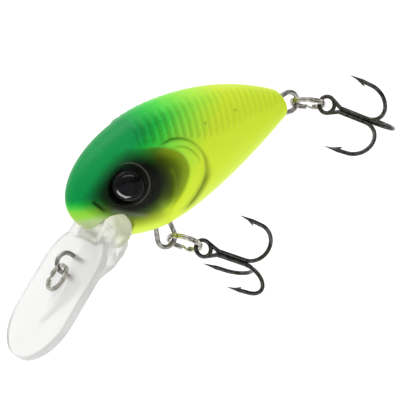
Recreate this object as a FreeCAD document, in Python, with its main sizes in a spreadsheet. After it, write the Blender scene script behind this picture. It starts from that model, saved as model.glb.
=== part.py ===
import FreeCAD, Part
import Sketcher
import os
from math import acos, atan2, cos, hypot, pi, radians, sin

from FreeCAD import Placement, Rotation, Vector

# A 43 mm deep-diving crankbait.  The model is worked out from the tip of the nose (x aft, y to the
# right side, z up) and then moved so that the origin is the centre of the line tie's eye.

SIZES = {
    # hollow body, measured from the tip of the nose
    "body_length": 43.4,
    "back_height": 11.1,
    "back_peak": 20.1,
    "back_bluntness": 1.91,
    "back_tail_share": 0.354,
    "back_taper": 2.14,
    "belly_depth": 9.3,
    "belly_peak": 15.1,
    "belly_bluntness": 1.91,
    "belly_tail_share": 0.08,
    "belly_taper": 1.47,
    "side_width": 8.7,
    "side_peak": 19.3,
    "side_bluntness": 1.8,
    "side_tail_share": 0.328,
    "side_taper": 1.37,
    "tail_lift": 1.4,
    "wall": 1.2,
    "bulkhead": 1.2,
    # clear diving lip
    "lip_angle": 37.0,
    "lip_start": 2.15,
    "lip_drop": 5.2,
    "blade_length": 23.4,
    "blade_half_width": 8.6,
    "neck_half_width": 5.4,
    "blade_thick": 1.5,
    "keel_thick": 2.4,
    "keel_depth": 7.6,
    "root_radius": 3.0,
    "root_width": 8.4,
    "root_place": -2.5,
    "root_drop": 2.1,
    "collar_thick": 0.8,
    "collar_end": 1.3,
    "heel_round": 0.5,
    "keel_tip_gap": 4.4,
    "window_width": 2.6,
    "window_length": 4.2,
    "window_place": 1.0,
    "window_drop": 4.9,
    "window_turn": 36.0,
    "fit_gap": 0.05,
    "wire_gap": 0.02,
    # wires
    "tie_wire": 0.76,
    "tie_loop": 1.65,
    "tie_place": 6.05,
    "tie_rise": 0.7,
    "tie_leg": 3.6,
    "tie_taper": 0.0,
    "hanger_wire": 0.84,
    "hanger_loop": 1.7,
    "hanger_leg": 6.6,
    "hanger_taper": 8.0,
    # split rings
    "ring_bore": 2.65,
    "ring_width": 0.46,
    "ring_turn": 0.44,
    "ring_gap": 20.0,
    "ring_seam": 80.0,
    "ring_edge": 0.1,
    "small_ring_bore": 2.05,
    "small_ring_width": 0.48,
    "small_ring_turn": 0.38,
    # treble hooks
    "hook_wire": 0.72,
    "hook_bundle": 0.42,
    "hook_shank": 7.9,
    "hook_bend": 3.3,
    "hook_point": 4.5,
    "hook_spear": 2.6,
    "hook_lean": 5.0,
    "hook_eye": 1.42,
    "hook_split": 120.0,
    "barb_height": 0.42,
    "barb_length": 1.1,
    "barb_thick": 0.3,
    "barb_root": 0.1,
    # eyes
    "eye_radius": 2.7,
    "eye_dome": 2.1,
    "eye_turn": 32.0,
    "socket_radius": 2.8,
    "socket_depth": 1.5,
    "socket_flare": 1.1,
    "backing_thick": 0.4,
    # what the hollow body holds
    "ballast_radius": 2.3,
    "ballast_length": 6.0,
    "ball_radius": 2.3,
    "chamber_radius": 2.36,
    "chamber_length": 8.5,
}

doc = FreeCAD.newDocument("crankbait")
sheet = doc.addObject("Spreadsheet::Sheet", "Sizes")
for row, (alias, size) in enumerate(SIZES.items(), start=1):
    sheet.set(f"A{row}", alias)
    sheet.set(f"B{row}", str(size))
    sheet.setAlias(f"B{row}", alias)
doc.recompute()


def size(text):
    """The number that an expression of the sheet's cells works out to."""
    return float(sheet.evalExpression(text))


def cell(alias):
    return size(f"Sizes.{alias}")


def bind(item, **links):
    """Tie an object's properties to expressions of the sheet's cells."""
    for name, text in links.items():
        item.setExpression(name, text)


PARTS = []


# --- Directions and places -----------------------------------------------------------------------

BLADE_AXIS = Vector(-cos(radians(cell("lip_angle"))), 0, -sin(radians(cell("lip_angle"))))
BLADE_FACE = Vector(-sin(radians(cell("lip_angle"))), 0, cos(radians(cell("lip_angle"))))
LIP_BASE = Vector(cell("lip_start"), 0, -cell("lip_drop"))
TIE_EYE = LIP_BASE + BLADE_AXIS * cell("tie_place") + BLADE_FACE * cell("tie_rise")
BELLY_EYE = Vector(15.8, 0, -11.9)
TAIL_EYE = Vector(45.3, 0, 0.9)
EYE_SEAT = Vector(8.7, 6.4, 1.95)
BALLAST_PLACE = Vector(20.3, 0, -4.2)
CHAMBER_START = Vector(29.6, 0, 1.2)
CAVITY_START = 9.8
CAVITY_END = 38.4
# Further from the middle line than the body reaches, for blocks that cut or stand right across it.
OUTSIDE = 14.0
ALONG = Vector(1, 0, 0)


def heading(yaw, pitch):
    """A direction aft: yaw turns it towards the left side, pitch turns it down."""
    level = cos(radians(pitch))
    return Vector(level * cos(radians(yaw)), -level * sin(radians(yaw)), -sin(radians(pitch)))


def aimed(direction, roll=0.0):
    """A rotation with x along the direction and z square to it, rolled from upright."""
    upright = direction.cross(Vector(0, 1, 0)).normalize()
    z_axis = Rotation(direction, roll).multVec(upright)
    return Rotation(direction, z_axis.cross(direction), z_axis, "XZY")


def place(item, base, rotation=Rotation()):
    item.Placement = Placement(base - TIE_EYE, rotation)
    PARTS.append(item)
    return item


# --- Sketches ------------------------------------------------------------------------------------

def new_body(label):
    body = doc.addObject("PartDesign::Body", label)
    body.Label = label
    return body


def origin_part(body, role):
    return next(item for item in body.Origin.OriginFeatures if item.Role == role)


def new_sketch(body, name, role="XZ_Plane", offset=Placement()):
    sketch = body.newObject("Sketcher::SketchObject", name)
    sketch.AttachmentSupport = (origin_part(body, role), "")
    sketch.MapMode = "FlatFace"
    sketch.AttachmentOffset = offset
    return sketch


def pin_point(sketch, edge, end, corner):
    """Hold one end of an edge at a corner given as two expressions."""
    for kind, axis, text in (("DistanceX", -2, corner[0]), ("DistanceY", -1, corner[1])):
        if text == "0":
            sketch.addConstraint(Sketcher.Constraint("PointOnObject", edge, end, axis))
            continue
        index = sketch.addConstraint(Sketcher.Constraint(kind, edge, end, size(text)))
        sketch.setExpression(f"Constraints[{index}]", text)


def arc_between(start, end, radius, side):
    """An arc of less than half a turn; side is +1 where it runs anticlockwise."""
    half = (end - start) * 0.5
    rise = max(radius * radius - half.Length ** 2, 0) ** 0.5
    normal = Vector(-half.y, half.x, 0).normalize()
    centre = start + half + normal * rise * side
    middle = centre + (start + half - centre).normalize() * radius
    if rise < 1e-6:
        middle = centre - normal * radius * side
    return Part.Arc(start, middle, end)


def draw(sketch, corners, arcs=None, closed=True):
    """Lines through the corners; arcs gives {edge: (radius expression, side)}."""
    arcs = arcs or {}
    points = [Vector(size(x), size(y), 0) for x, y in corners]
    count = len(points) if closed else len(points) - 1
    starts = []
    for i in range(count):
        first = points[i]
        last = points[(i + 1) % len(points)]
        if i not in arcs:
            sketch.addGeometry(Part.LineSegment(first, last), False)
            starts.append((1, 2))
            continue
        radius, side = arcs[i]
        sketch.addGeometry(arc_between(first, last, size(radius), side), False)
        starts.append((1, 2) if side > 0 else (2, 1))
    for i in range(count):
        pin_point(sketch, i, starts[i][0], corners[i])
        if i + 1 < count or closed:
            after = (i + 1) % count
            link = Sketcher.Constraint("Coincident", i, starts[i][1], after, starts[after][0])
            sketch.addConstraint(link)
        else:
            pin_point(sketch, i, starts[i][1], corners[-1])
        if i in arcs:
            index = sketch.addConstraint(Sketcher.Constraint("Radius", i, size(arcs[i][0])))
            sketch.setExpression(f"Constraints[{index}]", arcs[i][0])
    return sketch


def circle(sketch, radius, centre=("0", "0")):
    middle = Vector(size(centre[0]), size(centre[1]), 0)
    sketch.addGeometry(Part.Circle(middle, Vector(0, 0, 1), size(radius)), False)
    pin_point(sketch, 0, 3, centre)
    index = sketch.addConstraint(Sketcher.Constraint("Radius", 0, size(radius)))
    sketch.setExpression(f"Constraints[{index}]", radius)
    return sketch


# --- Diving lip ----------------------------------------------------------------------------------

def pad(body, sketch, length, both_sides=False, reverse=False):
    item = body.newObject("PartDesign::Pad", sketch.Name + "_pad")
    item.Profile = sketch
    item.Midplane = both_sides
    item.Reversed = reverse
    bind(item, Length=length)
    return item


def make_lip():
    """Blade, keel and root in one clear moulding; x runs down the blade and z is its face."""
    body = new_body("diving_lip")
    tip = "Sizes.blade_length-Sizes.blade_half_width"
    blade = new_sketch(body, "blade", "XY_Plane")
    draw(blade, [
        ("Sizes.root_place", "-Sizes.neck_half_width"),
        ("0", "-Sizes.neck_half_width"),
        ("Sizes.neck_half_width", "-Sizes.blade_half_width"),
        (tip, "-Sizes.blade_half_width"),
        ("Sizes.blade_length", "0"),
        (tip, "Sizes.blade_half_width"),
        ("Sizes.neck_half_width", "Sizes.blade_half_width"),
        ("0", "Sizes.neck_half_width"),
        ("Sizes.root_place", "Sizes.neck_half_width"),
    ], arcs={1: ("Sizes.blade_half_width", 1), 3: ("Sizes.blade_half_width", 1),
             4: ("Sizes.blade_half_width", 1), 6: ("Sizes.blade_half_width", 1)})
    pad(body, blade, "Sizes.blade_thick", reverse=True)
    keel = new_sketch(body, "keel")
    draw(keel, [
        ("Sizes.root_place", "-Sizes.blade_thick/2"),
        ("Sizes.root_place-Sizes.heel_round", "-Sizes.keel_depth+Sizes.heel_round"),
        ("-Sizes.heel_round", "-Sizes.keel_depth"),
        ("Sizes.keel_thick", "-Sizes.keel_depth+Sizes.heel_round"),
        ("Sizes.blade_length-Sizes.keel_tip_gap", "-Sizes.blade_thick/2"),
    ], arcs={1: ("Sizes.keel_depth", 1), 2: ("Sizes.keel_depth", 1)})
    pad(body, keel, "Sizes.keel_thick", both_sides=True)
    collar = new_sketch(body, "collar")
    draw(collar, [("Sizes.root_place", "-Sizes.blade_thick/2"), ("Sizes.collar_end", "-Sizes.blade_thick/2"),
                  ("Sizes.collar_end", "0"), ("Sizes.collar_end-Sizes.collar_thick", "Sizes.collar_thick"),
                  ("Sizes.root_place", "Sizes.collar_thick")])
    pad(body, collar, "2*(Sizes.neck_half_width-Sizes.collar_thick)", both_sides=True)
    root = new_sketch(body, "root")
    circle(root, "Sizes.root_radius", ("Sizes.root_place", "-Sizes.root_drop"))
    pad(body, root, "Sizes.root_width", both_sides=True)
    middle = Vector(cell("window_place"), -cell("window_drop"), 0)
    window = new_sketch(body, "window", offset=Placement(middle, Rotation(-cell("window_turn"), 0, 0)))
    half = "Sizes.window_width/2"
    run = "(Sizes.window_length-Sizes.window_width)/2"
    draw(window, [(f"-{run}", f"-{half}"), (run, f"-{half}"), (f"{run}+{half}", "0"),
                  (run, half), (f"-{run}", half), (f"-{run}-{half}", "0")],
         arcs={1: (half, 1), 2: (half, 1), 4: (half, 1), 5: (half, 1)})
    doc.recompute()
    hole = body.newObject("PartDesign::Pocket", "window_hole")
    hole.Profile = window
    hole.Type = "ThroughAll"
    hole.Midplane = True
    for side, name in (("-", "rear"), ("+", "front")):
        leg = new_sketch(body, f"{name}_leg", "XY_Plane")
        circle(leg, "Sizes.tie_wire/2+Sizes.wire_gap", (f"Sizes.tie_place{side}Sizes.tie_loop", "0"))
        leg_hole = body.newObject("PartDesign::Pocket", f"{name}_leg_hole")
        leg_hole.Profile = leg
        bind(leg_hole, Length="Sizes.tie_leg-Sizes.tie_rise+Sizes.wire_gap")
    return place(body, LIP_BASE, Rotation(BLADE_AXIS, Vector(0, -1, 0), BLADE_FACE, "XZY"))


# --- Bent wires ----------------------------------------------------------------------------------

def pipe(body, profile, path):
    item = body.newObject("PartDesign::AdditivePipe", profile.Name + "_pipe")
    item.Profile = profile
    item.Spine = (path, [f"Edge{i + 1}" for i in range(path.GeometryCount)])
    return item


def make_wire_eye(label, kind, centre, rotation):
    """A wire bent to an open eye; its two legs run up z and close in a little."""
    body = new_body(label)
    radius, leg, taper = (f"Sizes.{kind}_{word}" for word in ("loop", "leg", "taper"))
    side = f"{radius}*cos({taper})"
    rise = f"{radius}*sin({taper})"
    end = f"{side}-({leg}-{rise})*tan({taper})"
    path = new_sketch(body, "path")
    draw(path, [(f"-({end})", leg), (f"-({side})", rise), ("0", f"-{radius}"), (side, rise), (end, leg)],
         arcs={1: (radius, 1), 2: (radius, 1)}, closed=False)
    lean = Placement(Vector(-size(end), 0, size(leg)), Rotation(Vector(0, 1, 0), size(taper)))
    profile = circle(new_sketch(body, "wire", "XY_Plane", lean), f"Sizes.{kind}_wire/2")
    pipe(body, profile, path)
    return place(body, centre, rotation)


def ring_section(body, name, angle, layer, kind):
    """One turn's section with broken corners, on a plane through the ring's axis."""
    sketch = new_sketch(body, name, offset=Placement(Vector(), Rotation(Vector(0, 1, 0), angle)))
    low = "0" if layer else f"-Sizes.{kind}_turn"
    high = f"Sizes.{kind}_turn" if layer else "0"
    inside = f"Sizes.{kind}_bore"
    outside = f"Sizes.{kind}_bore+Sizes.{kind}_width"
    edge = "Sizes.ring_edge"
    return draw(sketch, [
        (inside, f"{low}+{edge}"), (f"{inside}+{edge}", low), (f"{outside}-{edge}", low),
        (outside, f"{low}+{edge}"), (outside, f"{high}-{edge}"), (f"{outside}-{edge}", high),
        (f"{inside}+{edge}", high), (inside, f"{high}-{edge}"),
    ])


def make_split_ring(label, kind, centre, rotation):
    """Two flat turns of wire, side by side, with a short ramp from one to the other."""
    body = new_body(label)
    before = cell("ring_seam") - cell("ring_gap") / 2
    after = cell("ring_seam") + cell("ring_gap") / 2
    for layer, name in enumerate(("lower", "upper")):
        turn = body.newObject("PartDesign::Revolution", name + "_turn")
        turn.Profile = ring_section(body, name, after, layer, kind)
        turn.ReferenceAxis = (turn.Profile[0], ["V_Axis"])
        bind(turn, Angle="360-Sizes.ring_gap")
    ramp = body.newObject("PartDesign::AdditiveLoft", "ramp")
    ramp.Profile = ring_section(body, "ramp_start", before, 0, kind)
    ramp.Sections = [ring_section(body, "ramp_end", after, 1, kind)]
    ramp.Ruled = True
    return place(body, centre, rotation)


# --- Treble hooks --------------------------------------------------------------------------------

# Where the shank's wires come together, in radii of the eye.
NECK = 1.9


def add_eye_leg(body, side):
    """The straight run of wire from one side of the eye, where it leaves square, to the shank."""
    spread = radians(cell("hook_split") / 2)
    across = Vector(0, cos(spread), sin(spread))
    inward = Vector(0, -sin(spread), cos(spread))
    ring = cell("hook_eye")
    shank = Vector(NECK * ring, 0, 0)
    shank += (across * (side * sin(spread)) + inward * cos(spread)) * cell("hook_bundle")
    off = side * sin(spread) * cell("hook_bundle")
    leave = atan2(off * side, shank.x) + acos(ring / hypot(shank.x, off))
    start = Vector(cos(leave), 0, 0) * ring + across * (side * ring * sin(leave))
    leg = body.newObject("PartDesign::AdditiveCylinder", "eye_leg")
    leg.AttachmentSupport = (origin_part(body, "XY_Plane"), "")
    leg.MapMode = "FlatFace"
    leg.AttachmentOffset = Placement(start, Rotation(Vector(0, 0, 1), shank - start))
    leg.Height = (shank - start).Length
    bind(leg, Radius="Sizes.hook_wire/2")


def make_hook(label, centre, rotation, prongs, start):
    """A bent, pointed and barbed wire along x; a pair of prongs also carries the eye."""
    body = new_body(label)
    if prongs == 2:
        eye = body.newObject("PartDesign::AdditiveTorus", "eye")
        eye.AttachmentSupport = (origin_part(body, "XY_Plane"), "")
        eye.MapMode = "FlatFace"
        eye.AttachmentOffset = Placement(Vector(), Rotation(Vector(1, 0, 0), cell("hook_split") / 2))
        bind(eye, Radius1="Sizes.hook_eye", Radius2="Sizes.hook_wire/2")
        for side in (-1, 1):
            add_eye_leg(body, side)
    off = "Sizes.hook_bundle"
    bend = "Sizes.hook_bend"
    lean = "Sizes.hook_lean"
    end = (f"Sizes.hook_shank+{bend}*sin({lean})", f"{off}+{bend}*(1+cos({lean}))")
    path = new_sketch(body, "wire_line")
    draw(path, [(start, off), ("Sizes.hook_shank", off), (f"Sizes.hook_shank+{bend}", f"{off}+{bend}"), end],
         arcs={1: (bend, 1), 2: (bend, 1)}, closed=False)
    foot = Placement(Vector(0, size(off), size(start)), Rotation())
    wire = pipe(body, circle(new_sketch(body, "wire", "YZ_Plane", foot), "Sizes.hook_wire/2"), path)
    aim = Placement(Vector(size(end[0]), size(end[1]), 0), Rotation(180 - cell("hook_lean"), 0, 0))
    spear = new_sketch(body, "spear", offset=aim)
    draw(spear, [("0", "0"), ("Sizes.hook_point", "0"),
                 ("Sizes.hook_point-Sizes.hook_spear", "Sizes.hook_wire/2"), ("0", "Sizes.hook_wire/2")])
    point = body.newObject("PartDesign::Revolution", "point")
    point.Profile = spear
    point.ReferenceAxis = (spear, ["H_Axis"])
    barb = new_sketch(body, "barb", offset=aim)
    back = "Sizes.hook_point-Sizes.hook_spear"
    draw(barb, [(back, "0"), (f"{back}-Sizes.barb_length/2", "Sizes.hook_wire/2+Sizes.barb_height"),
                (f"{back}+Sizes.barb_length", "Sizes.barb_root")])
    cut = pad(body, barb, "Sizes.barb_thick", both_sides=True)
    if prongs == 2:
        pattern = body.newObject("PartDesign::PolarPattern", "both_prongs")
        pattern.Originals = [wire, point, cut]
        pattern.Axis = (origin_part(body, "X_Axis"), [""])
        pattern.Occurrences = prongs
        bind(pattern, Angle="Sizes.hook_split")
        body.Tip = pattern
    return place(body, centre, rotation)


def make_treble(name, centre, direction, roll):
    """One wire bent to an eye and two hooks, and a third hook brazed along its shank."""
    make_hook(f"{name}_treble_double_hook", centre, aimed(direction, roll), 2, f"{NECK}*Sizes.hook_eye")
    third = roll + 2 * cell("hook_split")
    make_hook(f"{name}_treble_third_hook", centre, aimed(direction, third), 1, f"{NECK}*Sizes.hook_eye")


def make_tackle(name, wire_eye, chain, ring_roll, shank, hook_roll):
    """The split ring and treble that hang from one of the body's wire eyes."""
    ring_centre = wire_eye + chain * RING_REACH
    make_split_ring(f"{name}_split_ring", "ring", ring_centre, aimed(chain, ring_roll))
    make_treble(name, ring_centre + chain * HOOK_REACH, shank, hook_roll)


# --- Hollow body ---------------------------------------------------------------------------------

def reach(x, name, full):
    """How far the back, belly or side stands out at distance x behind the nose."""
    peak, bluntness, tail_share, taper = (
        cell(f"{name}_{word}") for word in ("peak", "bluntness", "tail_share", "taper"))
    if x < peak:
        return cell(full) * (1 - (1 - x / peak) ** bluntness) ** (1 / bluntness)
    run = (x - peak) / (cell("body_length") - peak)
    return cell(full) * (1 - (1 - tail_share) * run ** taper)


def section(x, inset=0.0):
    """An upright section: two half ellipses that meet at the widest level."""
    level = cell("tail_lift") * x / cell("body_length")
    top = reach(x, "back", "back_height") - inset - level
    low = reach(x, "belly", "belly_depth") - inset + level
    half = reach(x, "side", "side_width") - inset
    edges = []
    for rise, start in ((top, 0.0), (low, pi)):
        if half > rise:
            ellipse = Part.Ellipse(Vector(), half, rise)
            span = (start, start + pi)
            turn = 0.0
        else:
            ellipse = Part.Ellipse(Vector(), rise, half)
            span = (start - pi / 2, start + pi / 2)
            turn = 90.0
        arc = Part.ArcOfEllipse(ellipse, *span).toShape()
        arc.rotate(Vector(), Vector(0, 0, 1), turn)
        edges.append(arc)
    wire = Part.Wire(Part.__sortEdges__(edges))
    upright = Rotation(Vector(0, 1, 0), Vector(0, 0, 1), Vector(1, 0, 0), "ZXY")
    wire.Placement = Placement(Vector(x, 0, level), upright)
    return wire


def rod(start, length, radius):
    return Part.makeCylinder(radius, length, start, ALONG)


def envelope():
    """The outer form, from the tip of the nose to the flat end of the tail."""
    steps = 14
    stations = [cell("body_length") * (1 - cos(pi * i / steps)) / 2 for i in range(1, steps + 1)]
    return Part.makeLoft([Part.Vertex(0, 0, 0)] + [section(x) for x in stations], True)


def slab(start, end, low, high, half_width):
    return Part.makeBox(end - start, 2 * half_width, high - low, Vector(start, -half_width, low))


def hollow():
    """The air space inside, less the bulkheads, bosses, cradle and rattle tube left standing."""
    steps = 8
    span = CAVITY_END - CAVITY_START
    stations = [CAVITY_START + span * i / steps for i in range(steps + 1)]
    space = Part.makeLoft([section(x, cell("wall")) for x in stations], True)
    boss = cell("hanger_loop") + cell("hanger_wire") + cell("wall")
    ballast_end = BALLAST_PLACE.x + cell("ballast_length")
    cradle = cell("bulkhead")
    leg_top = BELLY_EYE.z + cell("hanger_leg") + cell("wall")
    standing = [
        slab(BELLY_EYE.x - boss, BELLY_EYE.x + boss, -OUTSIDE, leg_top, OUTSIDE),
        slab(BALLAST_PLACE.x - cradle, ballast_end + cradle, -OUTSIDE, BALLAST_PLACE.z, OUTSIDE),
        rod(CHAMBER_START - ALONG * cell("bulkhead"), cell("chamber_length") + 2 * cell("bulkhead"),
            cell("chamber_radius") + cell("wall")),
    ]
    for x in (BELLY_EYE.x - boss, ballast_end, CHAMBER_START.x + cell("chamber_length")):
        standing.append(slab(x, x + cell("bulkhead"), -OUTSIDE, OUTSIDE, OUTSIDE))
    return space.cut(standing)


def eye_place(side):
    """Where an eye sits, and the way it looks: outwards and forwards."""
    turn = radians(cell("eye_turn"))
    return Vector(EYE_SEAT.x, side * EYE_SEAT.y, EYE_SEAT.z), Vector(-sin(turn), side * cos(turn), 0)


def root_notch():
    """The round notch, open at both sides, that shows the lip's root between the jaws."""
    centre = LIP_BASE + BLADE_AXIS * cell("root_place") - BLADE_FACE * cell("root_drop")
    across = Vector(0, 1, 0)
    width = 3 * cell("root_width")
    radius = cell("root_radius") + cell("fit_gap")
    return Part.makeCylinder(radius, width, centre - across * width / 2, across)


def make_shells(set_in_plastic):
    """The two halves, welded on the middle plane round everything that is set in the plastic."""
    gap = cell("fit_gap")
    tools = [
        hollow(),
        rod(CHAMBER_START, cell("chamber_length"), cell("chamber_radius")),
        rod(BALLAST_PLACE - ALONG * gap, cell("ballast_length") + 2 * gap, cell("ballast_radius") + gap),
    ]
    for side in (-1, 1):
        seat, look = eye_place(side)
        sunk = cell("backing_thick") + gap
        tools.append(Part.makeCylinder(cell("socket_radius"), sunk, seat - look * sunk, look))
        mouth = cell("socket_radius") + cell("socket_flare")
        tools.append(Part.makeCone(cell("socket_radius"), mouth, cell("socket_depth"), seat, look))
    tools.append(root_notch())
    for item in set_in_plastic:
        tool = item.Shape.copy()
        tool.translate(TIE_EYE)
        tools.append(tool)
    solid = envelope().cut(tools)
    for label, low, high in (("body_shell_left", -OUTSIDE, 0), ("body_shell_right", 0, OUTSIDE)):
        item = doc.addObject("Part::Feature", label)
        half = Part.makeBox(cell("body_length"), high - low, 2 * OUTSIDE, Vector(0, low, -OUTSIDE))
        item.Shape = solid.common(half)
        place(item, Vector())


# --- Eyes, ballast and rattle --------------------------------------------------------------------

def make_eyes():
    for side, word in ((-1, "left"), (1, "right")):
        seat, look = eye_place(side)
        turn = Rotation(Vector(0, 0, 1), look)
        backing = doc.addObject("Part::Cylinder", f"eye_backing_{word}")
        bind(backing, Radius="Sizes.eye_radius", Height="Sizes.backing_thick")
        place(backing, seat - look * cell("backing_thick"), turn)
        body = new_body(f"eye_lens_{word}")
        dome = new_sketch(body, "dome")
        ball = "(Sizes.eye_radius^2+Sizes.eye_dome^2)/(2*Sizes.eye_dome)"
        draw(dome, [("0", "0"), ("Sizes.eye_radius", "0"), ("0", "Sizes.eye_dome")], arcs={1: (ball, 1)})
        lens = body.newObject("PartDesign::Revolution", "lens")
        lens.Profile = dome
        lens.ReferenceAxis = (dome, ["V_Axis"])
        place(body, seat, turn)


def make_weights():
    lying = Rotation(Vector(0, 0, 1), ALONG)
    ballast = doc.addObject("Part::Cylinder", "belly_ballast")
    bind(ballast, Radius="Sizes.ballast_radius", Height="Sizes.ballast_length")
    place(ballast, BALLAST_PLACE, lying)
    ball = doc.addObject("Part::Sphere", "rattle_ball")
    bind(ball, Radius="Sizes.ball_radius")
    place(ball, CHAMBER_START + ALONG * (cell("ball_radius") + cell("fit_gap")), lying)


# --- The whole lure ------------------------------------------------------------------------------

RING_REACH = 3.22
HOOK_REACH = 3.3
TIE_RING_REACH = 2.8
TIE_ROLL = 5.0

lip = make_lip()
make_wire_eye("line_tie_wire", "tie", TIE_EYE, aimed(BLADE_AXIS))
belly_hanger = make_wire_eye("belly_hook_hanger", "hanger", BELLY_EYE, Rotation())
tail_hanger = make_wire_eye("tail_hook_hanger", "hanger", TAIL_EYE, Rotation(Vector(0, 1, 0), -90))
tie_chain = BLADE_AXIS
make_split_ring("line_tie_split_ring", "small_ring", TIE_EYE + tie_chain * TIE_RING_REACH,
                aimed(tie_chain, TIE_ROLL))
make_tackle("belly", BELLY_EYE, heading(37, 31), -20.0, heading(13, 39), 10.0)
make_tackle("tail", TAIL_EYE, heading(33, 19), -19.0, heading(68, 22), 43.0)
make_eyes()
make_weights()
doc.recompute()
make_shells([lip, belly_hanger, tail_hanger])
doc.recompute()

for item in doc.Objects:
    if "Invalid" in item.State or "Error" in item.State:
        raise RuntimeError(f"{item.Label} failed: {item.State}")
for item in PARTS:
    if item.Shape.isNull() or not item.Shape.isValid():
        raise RuntimeError(f"{item.Label} has no valid shape")

os.makedirs("parts", exist_ok=True)
for item in PARTS:
    item.Shape.exportStep(f"parts/{item.Label}.step")
    print(item.Label, round(item.Shape.Volume, 2), len(item.Shape.Solids))
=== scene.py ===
"""The crankbait's looks: painted body, clear lip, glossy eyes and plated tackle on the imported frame."""

from math import cos, pi, radians, sin

import bmesh
import bpy
import numpy as np
from mathutils import Matrix, Vector


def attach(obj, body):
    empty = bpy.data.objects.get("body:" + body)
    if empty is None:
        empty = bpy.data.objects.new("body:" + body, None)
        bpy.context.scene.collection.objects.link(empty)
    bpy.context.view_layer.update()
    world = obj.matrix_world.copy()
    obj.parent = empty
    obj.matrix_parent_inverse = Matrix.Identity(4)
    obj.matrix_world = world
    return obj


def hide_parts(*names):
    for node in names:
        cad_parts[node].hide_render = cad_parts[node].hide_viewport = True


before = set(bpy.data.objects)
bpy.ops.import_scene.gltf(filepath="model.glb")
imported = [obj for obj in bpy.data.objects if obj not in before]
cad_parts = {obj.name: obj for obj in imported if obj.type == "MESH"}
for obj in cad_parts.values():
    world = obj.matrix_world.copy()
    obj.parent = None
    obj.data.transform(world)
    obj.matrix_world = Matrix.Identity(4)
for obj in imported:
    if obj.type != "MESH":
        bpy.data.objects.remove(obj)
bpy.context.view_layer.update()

MM = 0.001
# Everything below is in millimetres from the tip of the nose; this is where that tip lies.
NOSE = np.array([3.103, 0.0, 8.282])
BODY_LENGTH = 43.4
TAIL_LIFT = 1.4


# --- Camera, light and floor ---------------------------------------------------------------------

def make_camera():
    """A long lens, left of the nose and a little above, tipped so that the tail rides high."""
    azimuth, elevation, roll = radians(-27), radians(20), radians(15.5)
    away = Vector((sin(azimuth) * cos(elevation), -cos(azimuth) * cos(elevation), sin(elevation)))
    level = Vector((cos(azimuth), sin(azimuth), 0))
    upright = away.cross(level)
    right = level * cos(roll) - upright * sin(roll)
    up = level * sin(roll) + upright * cos(roll)
    distance = 420 * MM
    view_width = 66.7 * MM
    target = Vector((24.76, -4.22, 1.56)) * MM
    data = bpy.data.cameras.new("camera")
    data.sensor_width = 36
    data.lens = data.sensor_width * distance / view_width
    data.clip_start = 0.01
    data.clip_end = 10
    camera = bpy.data.objects.new("camera", data)
    camera.matrix_world = Matrix.Translation(target + away * distance) @ Matrix(
        (right, up, away)).transposed().to_4x4()
    bpy.context.scene.collection.objects.link(camera)
    bpy.context.scene.camera = camera


GLINT_LENGTH = 0.34
GLINT_WIDTH = 0.10
GLINT_DISTANCE = 0.3
GLINT_AIM = Vector((0.012, -0.006, 0.010))


def make_glint(name, lit, watts, bearing, tangent):
    """A strip light on one bearing from the eye, its length along the tangent.

    It puts an arc on the eyes' shoulders and lights nothing else.
    """
    data = bpy.data.lights.new(name, "AREA")
    data.shape = "RECTANGLE"
    data.size = GLINT_LENGTH
    data.size_y = GLINT_WIDTH
    data.energy = watts
    light = bpy.data.objects.new(name, data)
    back = Vector(bearing).normalized()
    side = Vector(tangent).normalized()
    side = (side - back * side.dot(back)).normalized()
    place = GLINT_AIM + back * GLINT_DISTANCE
    light.matrix_world = Matrix.Translation(place) @ Matrix(
        (side, back.cross(side), back)).transposed().to_4x4()
    light.visible_camera = False
    light.light_linking.receiver_collection = lit
    bpy.context.scene.collection.objects.link(light)


def make_overhead():
    """The big soft light above and behind, the same all over the floor."""
    data = bpy.data.lights.new("overhead", "SUN")
    data.angle = radians(45)
    data.energy = 1.3
    light = bpy.data.objects.new("overhead", data)
    behind_and_above = Vector((-0.12, 0.55, 0.83))
    light.rotation_euler = behind_and_above.to_track_quat("Z", "Y").to_euler()
    bpy.context.scene.collection.objects.link(light)


def make_studio():
    """The overhead light, the glints on the eyes and the room they stand in."""
    make_overhead()
    eyes = bpy.data.collections.new("eyes")
    bpy.context.scene.collection.children.link(eyes)
    make_glint("low_glint", eyes, 6.5, bearing=(-0.71, -0.19, -0.68), tangent=(0.42, -0.52, -0.74))
    make_glint("high_glint", eyes, 1.2, bearing=(-0.09, -0.54, 0.83), tangent=(0.9, -0.4, 0.0))
    bpy.context.scene.world = make_room()
    bpy.context.scene.view_settings.view_transform = "Standard"


def make_room():
    """A white ceiling over darker walls, so that plated wire has something to mirror."""
    world = bpy.data.worlds.new("studio")
    world.use_nodes = True
    tree = world.node_tree
    height = tree.nodes.new("ShaderNodeSeparateXYZ")
    tree.links.new(tree.nodes.new("ShaderNodeTexCoord").outputs["Generated"], height.inputs["Vector"])
    shade = tree.nodes.new("ShaderNodeValToRGB")
    dark, light = shade.color_ramp.elements
    dark.position, dark.color = 0.20, (0.10, 0.10, 0.10, 1)
    light.position, light.color = 0.60, (1, 1, 1, 1)
    tree.links.new(height.outputs["Z"], shade.inputs["Fac"])
    tree.links.new(shade.outputs["Color"], tree.nodes["Background"].inputs["Color"])
    tree.nodes["Background"].inputs["Strength"].default_value = 1.1
    return world


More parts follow.
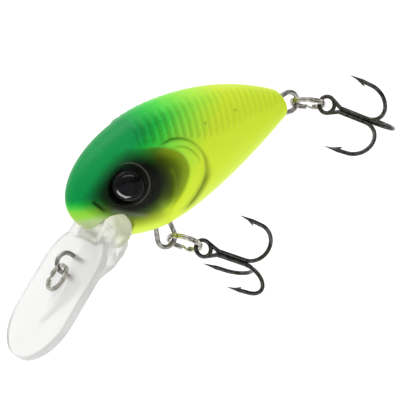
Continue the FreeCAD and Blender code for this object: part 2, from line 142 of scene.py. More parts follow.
def make_floor():
    """A pale sheet, well below the lure, that curves up behind it."""
    depth = -0.25
    front = -10.0
    back = 1.8
    bend = 0.5
    top = 3.0
    half_width = 6.0
    profile = [(front, depth), (back, depth)]
    for turn in np.linspace(0, pi / 2, 16)[1:]:
        profile.append((back + bend * sin(turn), depth + bend * (1 - cos(turn))))
    profile.append((back + bend, top))
    mesh = bpy.data.meshes.new("floor")
    rows = [(x, y, z) for y, z in profile for x in (-half_width, half_width)]
    faces = [(i, i + 1, i + 3, i + 2) for i in range(0, len(rows) - 2, 2)]
    mesh.from_pydata(rows, [], faces)
    mesh.shade_smooth()
    floor = bpy.data.objects.new("floor", mesh)
    bpy.context.scene.collection.objects.link(floor)
    paper = new_material("floor_paper", (0.93, 0.93, 0.93), 0.9)
    mottle(paper, 40, "Base Color", (0.91, 0.91, 0.91), (0.95, 0.95, 0.95))
    paper.set("Emission Color", (1, 1, 1, 1))
    paper.set("Emission Strength", 0.2)
    mesh.materials.append(paper.material)


# --- Materials -----------------------------------------------------------------------------------

class Shading:
    """A material's node tree, with short ways to add and join nodes."""

    def __init__(self, name):
        self.material = bpy.data.materials.new(name)
        self.material.use_nodes = True
        self.tree = self.material.node_tree
        self.shader = self.tree.nodes["Principled BSDF"]

    def add(self, kind, **settings):
        node = self.tree.nodes.new("ShaderNode" + kind)
        for name, setting in settings.items():
            setattr(node, name, setting)
        return node

    def join(self, source, target):
        self.tree.links.new(source, target)

    def set(self, name, value):
        self.shader.inputs[name].default_value = value

    def place(self):
        return self.add("TexCoord").outputs["Object"]

    def noise(self, grains_per_metre, detail=3.0):
        node = self.add("TexNoise")
        node.inputs["Scale"].default_value = grains_per_metre
        node.inputs["Detail"].default_value = detail
        self.join(self.place(), node.inputs["Vector"])
        return node.outputs["Fac"]

    def ramp(self, factor, stops):
        node = self.add("ValToRGB")
        band = node.color_ramp
        while len(band.elements) < len(stops):
            band.elements.new(0.5)
        for element, (position, colour) in zip(band.elements, stops):
            element.position = position
            element.color = (*colour, 1)
        self.join(factor, node.inputs["Fac"])
        return node.outputs["Color"]

    def span(self, factor, low, high):
        """The factor stretched from 0..1 to low..high."""
        node = self.add("MapRange")
        node.inputs["To Min"].default_value = low
        node.inputs["To Max"].default_value = high
        self.join(factor, node.inputs["Value"])
        return node.outputs["Result"]

    def mix(self, factor, first, second, blend="MIX"):
        node = self.add("Mix", data_type="RGBA", blend_type=blend)
        for socket, value in zip((node.inputs["Factor"], node.inputs["A"], node.inputs["B"]),
                                 (factor, first, second)):
            if isinstance(value, (int, float)):
                socket.default_value = value
            elif isinstance(value, tuple):
                socket.default_value = (*value, 1)
            else:
                self.join(value, socket)
        return node.outputs["Result"]

    def math(self, operation, first, second):
        node = self.add("Math", operation=operation)
        for socket, value in zip(node.inputs, (first, second)):
            if isinstance(value, (int, float)):
                socket.default_value = value
            else:
                self.join(value, socket)
        return node.outputs["Value"]

    def mask(self, name):
        return self.add("Attribute", attribute_name=name).outputs["Fac"]

    def bump(self, height, depth):
        node = self.add("Bump")
        node.inputs["Strength"].default_value = 0.5
        node.inputs["Distance"].default_value = depth * MM
        self.join(height, node.inputs["Height"])
        self.join(node.outputs["Normal"], self.shader.inputs["Normal"])


def srgb(red, green, blue):
    """A colour as the eye reads it, 0 to 255, turned to linear light."""
    shares = [channel / 255 for channel in (red, green, blue)]
    return tuple(s / 12.92 if s <= 0.04045 else ((s + 0.055) / 1.055) ** 2.4 for s in shares)


def new_material(name, colour, roughness, metallic=0.0):
    shading = Shading(name)
    shading.set("Base Color", (*colour, 1))
    shading.set("Roughness", roughness)
    shading.set("Metallic", metallic)
    return shading


def mottle(shading, grains_per_metre, socket, low, high):
    """Drive a socket between two values or colours by noise."""
    noise = shading.noise(grains_per_metre)
    if isinstance(low, tuple):
        result = shading.ramp(noise, [(0.35, low), (0.65, high)])
    else:
        result = shading.span(noise, low, high)
    shading.join(result, shading.shader.inputs[socket])


def make_paint():
    """Airbrushed coats over the ribbed plastic: green back, chartreuse sides and a black cheek, with
    painted shade in the grooves and painted highlights on the socket rim, jaw and cheek fold.
    """
    speckle_share = 0.22
    drift_share = 0.12
    paint = new_material("body_paint", srgb(205, 228, 55), 0.36)
    speckle = paint.math("MULTIPLY", paint.math("SUBTRACT", paint.noise(2600, 5.0), 0.5), speckle_share)
    drift = paint.math("MULTIPLY", paint.math("SUBTRACT", paint.noise(240), 0.5), drift_share)
    shift = paint.math("ADD", speckle, drift)
    yellow = paint.math("ADD", paint.mask("yellow"), shift)
    sides = paint.ramp(yellow, [
        # The first green is a little bluer than the paint itself, partly a painted sheen of the head's
        # top.
        (0.0, srgb(6, 145, 72)),
        (0.18, srgb(24, 182, 62)),
        (0.35, srgb(72, 210, 66)),
        (0.50, srgb(128, 222, 64)),
        (0.68, srgb(168, 230, 62)),
        (1.0, srgb(210, 233, 52)),
    ])
    pale = paint.mix(paint.mask("pale"), sides, srgb(212, 216, 176))
    olive = paint.mix(paint.mask("olive"), pale, srgb(92, 118, 2))
    black = paint.math("ADD", paint.mask("black"), paint.math("MULTIPLY", shift, 0.4))
    coats = paint.mix(black, olive, srgb(5, 5, 2))
    # Painted shade: the rib valleys, gill lines, mouth and pin marks are darkened in the colour.
    groove_shaded = paint.mix(paint.mask("groove_shade"), coats, srgb(92, 112, 0), "MULTIPLY")
    # Painted highlight: light grey on the eye socket's rim and along the jaw ridge.
    highlighted = paint.mix(paint.mask("rim_and_jaw_highlight"), groove_shaded, srgb(150, 150, 140))
    paint.join(highlighted, paint.shader.inputs["Base Color"])
    paint.join(paint.span(paint.noise(1500), 0.30, 0.42), paint.shader.inputs["Roughness"])
    paint.set("Specular IOR Level", 0.10)
    paint.bump(paint.noise(5200, 2.0), 0.012)
    return paint.material


def make_clear_plastic():
    """Milky clear plastic, tinted by a painted show-through of the body paint's colour where it sits in
    the head.
    """
    milky = (0.90, 0.90, 0.89)
    show_through_colour = (0.70, 0.74, 0.42)
    clear = new_material("clear_lip", milky, 0.30)
    # Painted show-through: the body paint's colour seen through the plastic.
    shown_through = clear.mix(clear.mask("body_show_through"), milky, show_through_colour)
    clear.join(shown_through, clear.shader.inputs["Base Color"])
    clear.set("Transmission Weight", 0.77)
    clear.set("IOR", 1.35)
    mottle(clear, 500, "Roughness", 0.25, 0.35)
    clear.bump(clear.noise(900), 0.01)
    return clear.material


def make_metal(name, dark, light, roughness, grains_per_metre=1800):
    metal = new_material(name, light, roughness, 1.0)
    # Painted reflection: the noise's light and dark patches in the metal's colour stand in for
    # reflections along the plating.
    mottle(metal, grains_per_metre, "Base Color", dark, light)
    metal.join(metal.span(metal.noise(grains_per_metre * 2), roughness * 0.7, roughness * 1.5),
               metal.shader.inputs["Roughness"])
    metal.bump(metal.noise(grains_per_metre * 3), 0.006)
    return metal.material


def make_eye_black():
    black = new_material("eye_black", srgb(5, 5, 6), 0.08)
    mottle(black, 700, "Base Color", srgb(3, 3, 4), srgb(8, 8, 9))
    black.set("Specular IOR Level", 0.06)
    return black.material


def finish_cad_nodes(materials):
    """Give every carried-over CAD node the material of its slot."""
    finishes = {
        "line_tie_wire": "nickel_wire",
        "belly_hook_hanger": "nickel_wire",
        "tail_hook_hanger": "nickel_wire",
        "line_tie_split_ring": "nickel_ring",
        "belly_split_ring": "nickel_ring",
        "tail_split_ring": "nickel_ring",
        "eye_backing_left": "eye_foil",
        "eye_backing_right": "eye_foil",
        "belly_ballast": "ballast_brass",
        "rattle_ball": "ball_steel",
    }
    for place in ("belly", "tail"):
        for part in ("double", "third"):
            finishes[f"{place}_treble_{part}_hook"] = "black_nickel"
    for node, finish in finishes.items():
        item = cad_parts[node]
        item.data.shade_smooth()
        for slot in item.material_slots:
            slot.material = materials[finish]
        if not item.material_slots:
            item.data.materials.append(materials[finish])


# --- Meshes --------------------------------------------------------------------------------------

def new_piece(name, points, faces, material, body="lure_body"):
    """A piece from points in millimetres off the nose, riding on a CAD body."""
    mesh = bpy.data.meshes.new(name)
    mesh.from_pydata((np.asarray(points) + NOSE) * MM, [], faces)
    mesh.materials.append(material)
    piece = bpy.data.objects.new(name, mesh)
    bpy.context.scene.collection.objects.link(piece)
    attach(piece, body)
    return piece


def apply_modifiers(item):
    """Put the result of the object's modifiers into its mesh."""
    graph = bpy.context.evaluated_depsgraph_get()
    result = bpy.data.meshes.new_from_object(item.evaluated_get(graph))
    item.modifiers.clear()
    old = item.data
    item.data = result
    bpy.data.meshes.remove(old)


def tool_object(name, points, faces):
    mesh = bpy.data.meshes.new(name)
    mesh.from_pydata((np.asarray(points) + NOSE) * MM, [], faces)
    tool = bpy.data.objects.new(name, mesh)
    bpy.context.scene.collection.objects.link(tool)
    return tool


def carve(item, tools):
    for tool in tools:
        cut = item.modifiers.new("cut", "BOOLEAN")
        cut.operation = "DIFFERENCE"
        cut.solver = "MANIFOLD"
        cut.object = tool
    apply_modifiers(item)


def tube(centre, axis, radius, length, sides=72):
    """Points and faces of a closed cylinder that starts at the centre and runs along the axis."""
    axis = Vector(axis).normalized()
    across = axis.orthogonal().normalized()
    beside = axis.cross(across)
    points = []
    for step in (0, length):
        for i in range(sides):
            turn = 2 * pi * i / sides
            spoke = across * cos(turn) + beside * sin(turn)
            points.append(Vector(centre) + axis * step + spoke * radius)
    faces = [(i, (i + 1) % sides, (i + 1) % sides + sides, i + sides) for i in range(sides)]
    faces.append(tuple(reversed(range(sides))))
    faces.append(tuple(range(sides, 2 * sides)))
    return [tuple(p) for p in points], faces


def prism(outline, half_thick):
    """Points and faces of a flat outline, given in x and y, padded both ways along z."""
    count = len(outline)
    points = [(x, y, -half_thick) for x, y in outline] + [(x, y, half_thick) for x, y in outline]
    faces = [(i, (i + 1) % count, (i + 1) % count + count, i + count) for i in range(count)]
    faces.append(tuple(reversed(range(count))))
    faces.append(tuple(range(count, 2 * count)))
    return points, faces


def arc(centre, radius, start, end, steps=16):
    return [(centre[0] + radius * cos(radians(a)), centre[1] + radius * sin(radians(a)))
            for a in np.linspace(start, end, steps)]


# --- Body form -----------------------------------------------------------------------------------

BACK = dict(full=11.08, peak=20.1, bluntness=1.91, tail_share=0.354, taper=2.14)
BELLY = dict(full=9.3, peak=15.1, bluntness=1.91, tail_share=0.08, taper=1.47)
SIDE = dict(full=8.5, peak=19.3, bluntness=1.8, tail_share=0.328, taper=1.37)
TAIL_ROUNDING = 0.7
STATIONS = 300
TURNS = 171


def reach(x, form):
    """How far the back, belly or side stands out at distances x behind the nose."""
    ahead = 1 - np.minimum(x, form["peak"]) / form["peak"]
    behind = (np.maximum(x, form["peak"]) - form["peak"]) / (BODY_LENGTH - form["peak"])
    swell = (1 - ahead ** form["bluntness"]) ** (1 / form["bluntness"])
    taper = 1 - (1 - form["tail_share"]) * behind ** form["taper"]
    return form["full"] * np.where(x < form["peak"], swell, taper)


def level_of(x):
    """Height of the widest line of the section at x."""
    return TAIL_LIFT * x / BODY_LENGTH


def angle_of(x, z):
    """Degrees round the section from the top of the back to the middle of the belly."""
    rise = z - level_of(x)
    full = np.where(rise > 0, reach(x, BACK) - level_of(x), reach(x, BELLY) + level_of(x))
    return np.degrees(np.arccos(np.clip(rise / np.maximum(full, 0.05), -1, 1)))


def half_body_grid(side):
    """Rows of points from the nose to the middle of the tail, each from the back to the belly."""
    start = BODY_LENGTH - TAIL_ROUNDING
    stations = [(start * t ** 1.5, 0.0, 1.0) for t in np.linspace(0, 1, STATIONS)]
    for turn in np.linspace(0, pi / 2, 8)[1:]:
        stations.append((start + TAIL_ROUNDING * sin(turn), TAIL_ROUNDING * (1 - cos(turn)), 1.0))
    stations += [(BODY_LENGTH, TAIL_ROUNDING, share) for share in (0.75, 0.5, 0.25, 0.0)]
    turns = np.linspace(0, pi, TURNS)
    rows = []
    for x, inset, share in stations:
        level = level_of(x)
        top = (reach(x, BACK) - level - inset) * share
        low = (reach(x, BELLY) + level - inset) * share
        half = (reach(x, SIDE) - inset) * share
        rise = np.where(turns < pi / 2, top, low) * np.cos(turns)
        rows.append(np.stack([np.full_like(turns, x), side * half * np.sin(turns), level + rise], -1))
    return np.array(rows)


def grid_faces(rows, columns, flip):
    faces = []
    for i in range(rows - 1):
        for j in range(columns - 1):
            a = i * columns + j
            quad = (a, a + 1, a + columns + 1, a + columns)
            faces.append(tuple(reversed(quad)) if flip else quad)
    return faces


# --- Moulded relief ------------------------------------------------------------------------------

EYE_SEAT = (8.7, 6.4, 1.95)
EYE_TURN = radians(32)
EYE_RADIUS = 2.7
EYE_DOME = 2.0
EYE_FLATNESS = 0.78
SOCKET_RADIUS = 2.8
SOCKET_RIM = 3.35
SOCKET_STEEPNESS = 1.35
FINE_RADIUS = 4.2

# Lines on the side of the head, as x and z, from their upper or front end.
GILL_EDGE = [
    (15.0, 5.7), (18.3, 6.0), (20.9, 4.7), (22.4, 1.7), (21.8, -1.7), (19.4, -4.6), (16.8, -7.0),
]
GILL_PLATE = [
    (12.6, 6.9), (16.3, 5.8), (18.8, 3.9), (19.4, 0.9), (17.8, -2.1), (15.4, -4.7), (13.2, -6.6),
]
CHEEK_FOLD = [(16.2, 2.4), (16.3, 0.5), (15.9, -1.5), (14.9, -3.7), (13.3, -5.6)]
JAW_FOLD = [(4.6, -0.9), (5.5, -1.4), (7.0, -2.4), (9.5, -3.6), (11.5, -4.4)]
MOUTH = [(2.8, 1.2), (3.3, 0.2), (4.4, -1.6)]
PINS = [(25.2, 6.2), (32.0, 5.6)]
RIB_COUNT = 23
FIRST_RIB = 13.4
RIB_SPACING = 1.5
RIB_TIGHTENING = 0.0176
RIB_LEAN = 0.42
RIB_HEIGHT = 0.28


def smooth_line(corners, steps=12):
    """Points along a smooth line through the corners."""
    corners = np.array(corners, float)
    ends = np.vstack([2 * corners[0] - corners[1], corners, 2 * corners[-1] - corners[-2]])
    points = []
    for a, b, c, d in zip(ends, ends[1:], ends[2:], ends[3:]):
        for t in np.linspace(0, 1, steps, endpoint=False):
            points.append(b + 0.5 * t * (c - a + t * (2 * a - 5 * b + 4 * c - d
                                                     + t * (3 * (b - c) + d - a))))
    points.append(corners[-1])
    return np.array(points)


def ramp_up(value, low, high):
    """0 below low, 1 above high, and smooth between."""
    t = np.clip((value - low) / (high - low), 0, 1)
    return t * t * (3 - 2 * t)


def across_line(corners, x, z):
    """Distance from a line, positive behind it, and the share of the line passed, 0 to 1."""
    line = smooth_line(corners)
    gaps = np.stack([x[:, None] - line[:, 0], z[:, None] - line[:, 1]], -1)
    nearest = np.argmin((gaps ** 2).sum(-1), axis=1)
    run = np.gradient(line, axis=0)[nearest]
    run /= np.linalg.norm(run, axis=1, keepdims=True)
    gap = gaps[np.arange(len(x)), nearest]
    return run[:, 0] * gap[:, 1] - run[:, 1] * gap[:, 0], nearest / (len(line) - 1)


def bead(distance, width):
    return np.exp(-(distance / width) ** 2)


def ribs(x, z):
    """Where the back is ribbed, 0 to 1, and the ribs' wave; their tops lean aft.

    Each gap is a little shorter than the one before, so rib n stands at n * spacing less
    n squared * tightening / 2, and the count is that turned round.
    """
    angle = angle_of(x, z)
    lean_from = level_of(x) + (reach(x, BACK) - level_of(x)) * cos(pi / 4)
    along = x - RIB_LEAN * (z - lean_from) - FIRST_RIB
    root = np.sqrt(np.maximum(RIB_SPACING ** 2 - 2 * RIB_TIGHTENING * along, 0))
    count = (RIB_SPACING - root) / RIB_TIGHTENING
    wave = ((1 + np.cos(2 * pi * count)) / 2) ** 1.4
    lowest = np.minimum(52 + 1.9 * np.maximum(x - 13.5, 0), 76)
    shown = ramp_up(angle, 10, 30) * (1 - ramp_up(angle, lowest - 7, lowest + 2))
    shown *= ramp_up(count, -0.6, -0.3) * (1 - ramp_up(count, RIB_COUNT - 0.6, RIB_COUNT - 0.4))
    lower_aft = 1 - 0.4 * ramp_up(x, 22, 34)
    return shown * lower_aft, wave


def fades(share, length=0.12):
    """1 along a line and 0 at its two ends."""
    return ramp_up(share, 0, length) * (1 - ramp_up(share, 1 - length, 1))


def gill_depth(along):
    """The gill's groove is deep at its upper end, shallow at its middle and wide and soft below."""
    return (1 - 0.55 * bead(along - 0.42, 0.14)) * (1 - 0.42 * ramp_up(along, 0.45, 0.65))


def head_relief(x, z):
    """Height of the gill, cheek, jaw and mouth above the plain body, below it where negative."""
    edge, along_edge = across_line(GILL_EDGE, x, z)
    plate, along_plate = across_line(GILL_PLATE, x, z)
    fold, along_fold = across_line(CHEEK_FOLD, x, z)
    jaw, along_jaw = across_line(JAW_FOLD, x, z)
    mouth, along_mouth = across_line(MOUTH, x, z)
    band = ramp_up(plate, -0.45, 0.35) * (1 - ramp_up(edge, -0.3, 0.3)) * fades(along_plate, 0.2)
    hollow = (1 - ramp_up(plate, -0.45, 0.1)) * ramp_up(x, 9, 15) * fades(along_plate, 0.2)
    gill_lip = 0.10 * bead(edge + 0.5, 0.3)
    gill_groove = 0.26 * gill_depth(along_edge) * bead(edge - 0.15, 0.34)
    inner_groove = 0.12 * bead(edge + 1.0, 0.22) * (1 - ramp_up(along_edge, 0.4, 0.6))
    cheek_ridge = 0.26 * bead(fold, 0.28) - 0.14 * bead(fold + 0.6, 0.4)
    jaw_ridge = 0.20 * bead(jaw + 0.1, 0.42) - 0.22 * bead(jaw - 0.5, 0.26)
    mouth_lip = 0.26 * bead(mouth - 0.75, 0.5) - 0.30 * bead(mouth, 0.2)
    height = 0.12 * band - 0.24 * hollow
    height += fades(along_edge) * (gill_lip - gill_groove) - fades(along_edge, 0.3) * inner_groove
    height += fades(along_fold, 0.25) * cheek_ridge
    height += fades(along_jaw, 0.2) * jaw_ridge
    height += fades(along_mouth, 0.2) * mouth_lip
    return height


def pin_marks(x, z):
    """The round marks that the mould's pins left on the flank."""
    return sum(bead(np.hypot(x - px, z - pz), 0.28) for px, pz in PINS)


def eye_frame(side):
    """Middle of the eye's seat and the way the eye looks."""
    seat = np.array([EYE_SEAT[0], side * EYE_SEAT[1], EYE_SEAT[2]])
    look = np.array([-sin(EYE_TURN), side * cos(EYE_TURN), 0.0])
    return seat, look


def sink_socket(points, side):
    """Press a round seat with a flared rim into the side of the head."""
    seat, look = eye_frame(side)
    out = (points - seat) @ look
    off = np.linalg.norm(points - seat - out[:, None] * look, axis=1)
    near = out > -3
    floor = np.where(off < SOCKET_RADIUS, -0.5, (off - SOCKET_RADIUS) * SOCKET_STEEPNESS)
    rim = near & (off < SOCKET_RIM + 1.5)
    points[rim] += look * (0.10 * bead(off[rim] - SOCKET_RIM - 0.15, 0.3))[:, None]
    out = (points - seat) @ look
    deep = near & (off < SOCKET_RIM + 0.6) & (out > floor)
    points[deep] += look * (floor[deep] - out[deep])[:, None]


def refine(mesh, centre, radius, cuts):
    """Divide the faces near a place more finely."""
    work = bmesh.new()
    work.from_mesh(mesh)
    place = (Vector(centre) + Vector(NOSE)) * MM
    edges = [e for e in work.edges if all((v.co - place).length < radius * MM for v in e.verts)]
    bmesh.ops.subdivide_edges(work, edges=edges, cuts=cuts, use_grid_fill=True)
    work.to_mesh(mesh)
    work.free()


def read_points(mesh):
    flat = np.empty(len(mesh.vertices) * 3)
    mesh.vertices.foreach_get("co", flat)
    return flat.reshape(-1, 3) / MM - NOSE


def write_points(mesh, points):
    mesh.vertices.foreach_set("co", ((points + NOSE) * MM).ravel())
    mesh.update()


def store(mesh, name, values):
    """Keep a value per point, for a material's Attribute node to read."""
    layer = mesh.attributes.new(name, "FLOAT", "POINT")
    layer.data.foreach_set("value", values.astype(np.float32))


def mould_half(mesh, side):
    """Raise the ribs and folds on the plain half and sink its eye socket."""
    points = read_points(mesh)
    normals = np.empty(len(mesh.vertices) * 3)
    mesh.vertex_normals.foreach_get("vector", normals)
    middle = np.abs(points[:, 1]) < 1e-4
    x, z = points[:, 0], points[:, 2]
    shown = ramp_up(x, 1.0, 2.5) * (1 - ramp_up(x, BODY_LENGTH - 0.8, BODY_LENGTH - 0.3))
    ribbed, wave = ribs(x, z)
    height = (RIB_HEIGHT * ribbed * wave + head_relief(x, z) - 0.09 * pin_marks(x, z)) * shown
    points += normals.reshape(-1, 3) * height[:, None]
    points[middle, 1] = 0
    sink_socket(points, side)
    write_points(mesh, points)


def close_half(mesh):
    """Merge the two poles and fill the flat face on the middle plane."""
    work = bmesh.new()
    work.from_mesh(mesh)
    bmesh.ops.remove_doubles(work, verts=work.verts, dist=1e-3 * MM)
    rim = [e for e in work.edges if e.is_boundary]
    bmesh.ops.contextual_create(work, geom=rim)
    bmesh.ops.recalc_face_normals(work, faces=work.faces)
    work.to_mesh(mesh)
    work.free()


# --- Paint masks ---------------------------------------------------------------------------------

def yellow_mask(x, z, angle, inside):
    """0 on the green back, 1 on the chartreuse sides, belly, throat and chin."""
    aft = x + 0.2 * np.maximum(angle - 35, 0)
    flank = np.clip((aft - 13.5) / 19.0, 0, 1)
    chin = 0.62 * ramp_up(-z, -2.0, 1.2) * (1 - ramp_up(x, 8, 13))
    throat = ramp_up(-z, 1.0, 5.0) * ramp_up(x, 4, 9)
    cheek = inside * ramp_up(x, 12.5, 16) * ramp_up(angle, 52, 68)
    return np.maximum.reduce([flank, chin, throat, cheek])


def black_mask(x, z, angle, inside):
    """The sprayed patch round the eye, which stops at the edge of the gill plate and is thinned along the
    cheek fold as a painted highlight.
    """
    middle_x, middle_angle = 9.6, 84
    length = np.where(x < middle_x, 7.2, 6.7)
    spread = np.where(angle < middle_angle, 36, 40)
    off = np.hypot((x - middle_x) / length, (angle - middle_angle) / spread)
    fold, along_fold = across_line(CHEEK_FOLD, x, z)
    # Painted highlight: the black is thinned along the cheek fold's ridge so that it reads lighter.
    fold_highlight = 0.8 * bead(fold, 0.3) * fades(along_fold)
    patch = inside * (1 - ramp_up(off, 0.52, 1.32)) * (1 - fold_highlight)
    return 1 - (1 - patch) ** 1.5


def olive_mask(x, angle, inside, edge, plate):
    """Thin black over yellow behind the patch and on the throat; behind the gill's lower edge, in its
    hollow, a band of painted shade.
    """
    thinning = 0.75 + 0.25 * ramp_up(-plate, 0.3, 2.5)
    recess = inside * thinning * ramp_up(x, 12, 15) * (1 - ramp_up(np.abs(angle - 84), 22, 46))
    # Painted shade: a darker band just behind the gill's lower edge.
    behind = 0.5 * bead(edge - 0.5, 0.9) * ramp_up(angle, 96, 112) * (1 - ramp_up(angle, 128, 140))
    throat = 0.45 * ramp_up(angle, 104, 116) * (1 - ramp_up(angle, 128, 146)) * (1 - ramp_up(x, 12, 16))
    return np.maximum.reduce([recess, behind, throat * ramp_up(x, 5, 8)])


def mask_out(mesh, side):
    """Store the coats' masks, and those of the painted shade and painted highlights, on the mesh, for the
    paint's nodes to read.
    """
    points = read_points(mesh)
    x, z = points[:, 0], points[:, 2]
    angle = angle_of(x, z)
    edge, along_edge = across_line(GILL_EDGE, x, z)
    plate, _ = across_line(GILL_PLATE, x, z)
    mouth, along_mouth = across_line(MOUTH, x, z)
    jaw, along_jaw = across_line(JAW_FOLD, x, z)
    inside = 1 - ramp_up(plate, -0.45, 0.1)
    seat, look = eye_frame(side)
    off = np.linalg.norm(np.cross(points - seat, look), axis=1)
    ribbed, wave = ribs(x, z)
    valleys = ramp_up(angle, 12, 34) * ribbed * (1 - wave) * (1 - 0.65 * ramp_up(x, 18, 27))
    gill = gill_depth(along_edge)
    gill_width = 0.26 + 0.5 * ramp_up(along_edge, 0.45, 0.65)
    inner_line = bead(edge + 1.0, 0.2) * fades(along_edge, 0.3) * (1 - ramp_up(along_edge, 0.4, 0.6))
    gill_line = gill * bead(edge - 0.25, gill_width) * fades(along_edge)
    # Painted shade where the rib valleys, gill lines, mouth and pin marks lie.
    groove_shade = np.maximum.reduce([
        0.85 * gill_line,
        0.4 * inner_line,
        bead(mouth, 0.26) * fades(along_mouth, 0.25),
        0.5 * pin_marks(x, z),
        0.38 * valleys,
    ])
    rim = bead(off - SOCKET_RIM - 0.1, 0.10) * ramp_up(x, 8, 10) * (np.sign(points[:, 1]) == side)
    masks = {
        "yellow": yellow_mask(x, z, angle, inside),
        "black": black_mask(x, z, angle, inside),
        "olive": olive_mask(x, angle, inside, edge, plate),
        "pale": 0.75 * ramp_up(-z, 1.2, 3.0) * (1 - ramp_up(x, 3.0, 6.0)),
        "groove_shade": groove_shade,
        # Painted highlight on the socket's rim and along the jaw ridge.
        "rim_and_jaw_highlight": 0.25 * rim + 0.25 * bead(jaw + 0.1, 0.45) * fades(along_jaw, 0.3),
    }
    for name, values in masks.items():
        store(mesh, name, values)


def make_half(side, word, paint, tools):
    grid = half_body_grid(side)
    rows, columns = grid.shape[:2]
    piece = new_piece(f"body_skin_{word}", grid.reshape(-1, 3), grid_faces(rows, columns, side > 0),
                      paint)
    seat, _ = eye_frame(side)
    refine(piece.data, seat, FINE_RADIUS, 2)
    mould_half(piece.data, side)
    close_half(piece.data)
    carve(piece, tools)
    mask_out(piece.data, side)
    piece.data.shade_smooth()
    piece.data.set_sharp_from_angle(angle=radians(50))
    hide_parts(f"body_shell_{word}")
    return piece


# --- Diving lip ----------------------------------------------------------------------------------

LIP_ANGLE = radians(37)
LIP_BASE = np.array([2.15, 0.0, -5.2])
LIP_DOWN = np.array([-cos(LIP_ANGLE), 0.0, -sin(LIP_ANGLE)])
LIP_FACE = np.array([-sin(LIP_ANGLE), 0.0, cos(LIP_ANGLE)])
BLADE_LENGTH = 23.4
BLADE_HALF_WIDTH = 8.6
BLADE_THICK = 1.5
NECK_HALF_WIDTH = 5.4
KEEL_THICK = 2.4
LIP_ROOM = 0.08
ROOT_RADIUS = 3.0
ROOT_WIDTH = 8.4
ROOT_PLACE = (-2.5, -2.1)
COLLAR_THICK = 0.8
COLLAR_END = 1.3
WINDOW_PLACE = (1.0, -4.9)
WINDOW_RADIUS = 1.3
WINDOW_HALF_STRAIGHT = 0.8
WINDOW_SLANT = radians(-36)


# What is hollow in the body behind the lip.
RATTLE_CHAMBER = dict(centre=(29.6, 0, 1.2), axis=(1, 0, 0), radius=2.36, length=8.5)
BALLAST_POCKET = dict(centre=(20.25, 0, -4.2), axis=(1, 0, 0), radius=2.35, length=6.1)


def in_lip_frame(points):
    """Points given down the blade, across it and out of its face, moved to the lure."""
    points = np.asarray(points, float)
    across = np.array([0.0, -1.0, 0.0])
    return LIP_BASE + points[:, :1] * LIP_DOWN + points[:, 1:2] * across + points[:, 2:] * LIP_FACE


def blade_outline():
    width = BLADE_HALF_WIDTH
    tip = BLADE_LENGTH - width
    near = [(ROOT_PLACE[0], -NECK_HALF_WIDTH), (0.0, -NECK_HALF_WIDTH)]
    curve = [(0.9, -6.3), (2.2, -7.4), (3.8, -8.2), (5.6, -8.55), (7.6, -width)]
    near += curve + arc((tip, 0), width, -90, 0, 24)
    far = [(x, -y) for x, y in reversed(near[:-1])]
    return near + far


def merge(shapes):
    """One mesh from several closed ones."""
    points, faces = [], []
    for shape_points, shape_faces in shapes:
        start = len(points)
        points += [tuple(p) for p in shape_points]
        faces += [tuple(i + start for i in face) for face in shape_faces]
    return points, faces


def standing(shape):
    """A prism drawn in x and y turned to stand on the blade: its y becomes z."""
    points, faces = shape
    return [(x, -z, y) for x, y, z in points], faces


def lip_shapes():
    """The blade, keel, root and collar in the blade's own frame, as one mesh of closed shapes."""
    blade_points, blade_faces = prism(blade_outline(), BLADE_THICK / 2)
    blade = ([(x, y, z - BLADE_THICK / 2) for x, y, z in blade_points], blade_faces)
    keel = standing(prism([
        (-2.3, -0.75), (-2.8, -6.6), (-2.2, -7.3), (-0.4, -7.6), (2.4, -7.25), (8.0, -4.9), (19.0, -0.75),
    ], KEEL_THICK / 2))
    collar = standing(prism([
        (ROOT_PLACE[0], -BLADE_THICK / 2), (COLLAR_END, -BLADE_THICK / 2), (COLLAR_END, 0.0),
        (COLLAR_END - COLLAR_THICK, COLLAR_THICK), (ROOT_PLACE[0], COLLAR_THICK),
    ], NECK_HALF_WIDTH - COLLAR_THICK))
    root = tube((ROOT_PLACE[0], -ROOT_WIDTH / 2, ROOT_PLACE[1]), (0, 1, 0), ROOT_RADIUS, ROOT_WIDTH, 48)
    return merge([blade, keel, root, collar])


def window_tool():
    """The slanted oval that is taken out of the keel."""
    window = arc((WINDOW_HALF_STRAIGHT, 0), WINDOW_RADIUS, -90, 90)
    window += arc((-WINDOW_HALF_STRAIGHT, 0), WINDOW_RADIUS, 90, 270)
    outline = []
    for x, y in window:
        along = x * cos(WINDOW_SLANT) - y * sin(WINDOW_SLANT)
        out = x * sin(WINDOW_SLANT) + y * cos(WINDOW_SLANT)
        outline.append((WINDOW_PLACE[0] + along, WINDOW_PLACE[1] + out))
    hole_points, hole_faces = standing(prism(outline, 3))
    return tool_object("window_tool", in_lip_frame(hole_points), hole_faces)


def make_lip(clear):
    """The blade, keel and root flowed into one clear moulding with softened edges."""
    points, faces = lip_shapes()
    mesh = bpy.data.meshes.new("diving_lip_clear")
    mesh.from_pydata(np.array(points) * MM, [], faces)
    mesh.materials.append(clear)
    piece = bpy.data.objects.new("diving_lip_clear", mesh)
    bpy.context.scene.collection.objects.link(piece)
    flow = piece.modifiers.new("flow", "REMESH")
    flow.mode = "VOXEL"
    flow.voxel_size = 0.16 * MM
    soften = piece.modifiers.new("soften", "SMOOTH")
    soften.factor = 0.5
    soften.iterations = 16
    apply_modifiers(piece)
    write_points(piece.data, in_lip_frame(read_points(piece.data) + NOSE))
    hole = window_tool()
    carve(piece, [hole])
    bpy.data.objects.remove(hole)
    points = read_points(piece.data)
    # Painted show-through: where the lip sits in the head, the body's yellow seen through it.
    body_show_through = 0.7 * ramp_up(points[:, 0], 3.6, 6.4) * (1 - ramp_up(-points[:, 2], 7.5, 9.5))
    store(piece.data, "body_show_through", body_show_through)
    piece.data.shade_smooth()
    piece.data.set_sharp_from_angle(angle=radians(55))
    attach(piece, "lure_body")
    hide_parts("diving_lip")
    return piece


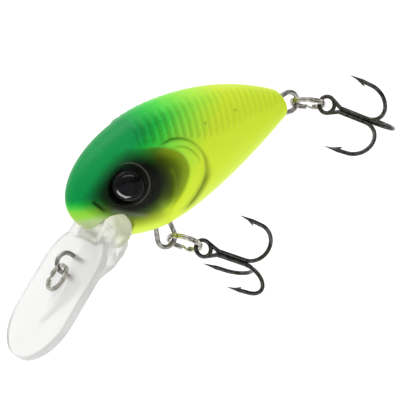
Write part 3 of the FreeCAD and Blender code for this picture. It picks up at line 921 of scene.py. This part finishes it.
def body_tools(lip):
    """What is taken out of the body: the lip with a little room, its notch, and the inner pockets."""
    grown = lip.copy()
    grown.data = lip.data.copy()
    bpy.context.scene.collection.objects.link(grown)
    grow = grown.modifiers.new("grow", "DISPLACE")
    grow.strength = LIP_ROOM * MM
    grow.mid_level = 0
    apply_modifiers(grown)
    root = in_lip_frame([(ROOT_PLACE[0], 0, ROOT_PLACE[1])])[0]
    notch = tool_object("notch_tool", *tube(root - (0, 12, 0), (0, 1, 0), ROOT_RADIUS + LIP_ROOM, 24, 96))
    chamber = tool_object("chamber_tool", *tube(**RATTLE_CHAMBER))
    pocket = tool_object("pocket_tool", *tube(**BALLAST_POCKET))
    return [grown, notch, chamber, pocket]


# --- Eyes ----------------------------------------------------------------------------------------

def button_profile():
    """Distances off the button's axis and out of its seat, from the foot to the middle."""
    foot = 0.1
    profile = [(EYE_RADIUS * 0.96, 0.0)]
    for turn in np.linspace(0, pi / 2, 60):
        off = EYE_RADIUS * cos(turn) ** EYE_FLATNESS
        profile.append((off, foot + (EYE_DOME - foot) * sin(turn) ** EYE_FLATNESS))
    return profile


def make_eye(side, word, black):
    """A glossy button: nearly flat in front, with a round shoulder."""
    seat, look = eye_frame(side)
    upright = np.array([0.0, 0.0, 1.0])
    beside = np.cross(upright, look)
    turns = 96
    points = []
    profile = button_profile()
    for off, out in profile[:-1]:
        for i in range(turns):
            turn = 2 * pi * i / turns
            points.append(seat + look * out + (beside * cos(turn) + upright * sin(turn)) * off)
    points.append(seat + look * EYE_DOME)
    faces = []
    for row in range(len(profile) - 2):
        for i in range(turns):
            a, b = row * turns + i, row * turns + (i + 1) % turns
            faces.append((a, b, b + turns, a + turns))
    last = (len(profile) - 2) * turns
    faces += [(last + i, last + (i + 1) % turns, len(points) - 1) for i in range(turns)]
    faces.append(tuple(reversed(range(turns))))
    piece = new_piece(f"eye_button_{word}", points, faces, black)
    work = bmesh.new()
    work.from_mesh(piece.data)
    bmesh.ops.recalc_face_normals(work, faces=work.faces)
    work.to_mesh(piece.data)
    work.free()
    piece.data.shade_smooth()
    piece.data.set_sharp_from_angle(angle=radians(50))
    bpy.data.collections["eyes"].objects.link(piece)
    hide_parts(f"eye_lens_{word}")


# --- The whole lure ------------------------------------------------------------------------------

make_camera()
make_studio()
make_floor()
finish_cad_nodes({
    "nickel_wire": make_metal("nickel_wire", (0.16, 0.155, 0.145), (0.38, 0.37, 0.34), 0.20),
    "nickel_ring": make_metal("nickel_ring", (0.26, 0.25, 0.22), (0.60, 0.58, 0.52), 0.18),
    "black_nickel": make_metal("black_nickel", (0.025, 0.024, 0.022), (0.09, 0.088, 0.084), 0.22),
    "eye_foil": make_metal("eye_foil", (0.02, 0.02, 0.02), (0.05, 0.05, 0.05), 0.4),
    "ballast_brass": make_metal("ballast_brass", (0.55, 0.40, 0.16), (0.68, 0.50, 0.22), 0.35),
    "ball_steel": make_metal("ball_steel", (0.45, 0.45, 0.46), (0.58, 0.58, 0.60), 0.2),
})
lip_piece = make_lip(make_clear_plastic())
body_paint = make_paint()
cutters = body_tools(lip_piece)
for side_sign, side_word in ((-1, "left"), (1, "right")):
    make_half(side_sign, side_word, body_paint, cutters)
for cutter in cutters:
    bpy.data.objects.remove(cutter)
eye_gloss = make_eye_black()
for side_sign, side_word in ((-1, "left"), (1, "right")):
    make_eye(side_sign, side_word, eye_gloss)
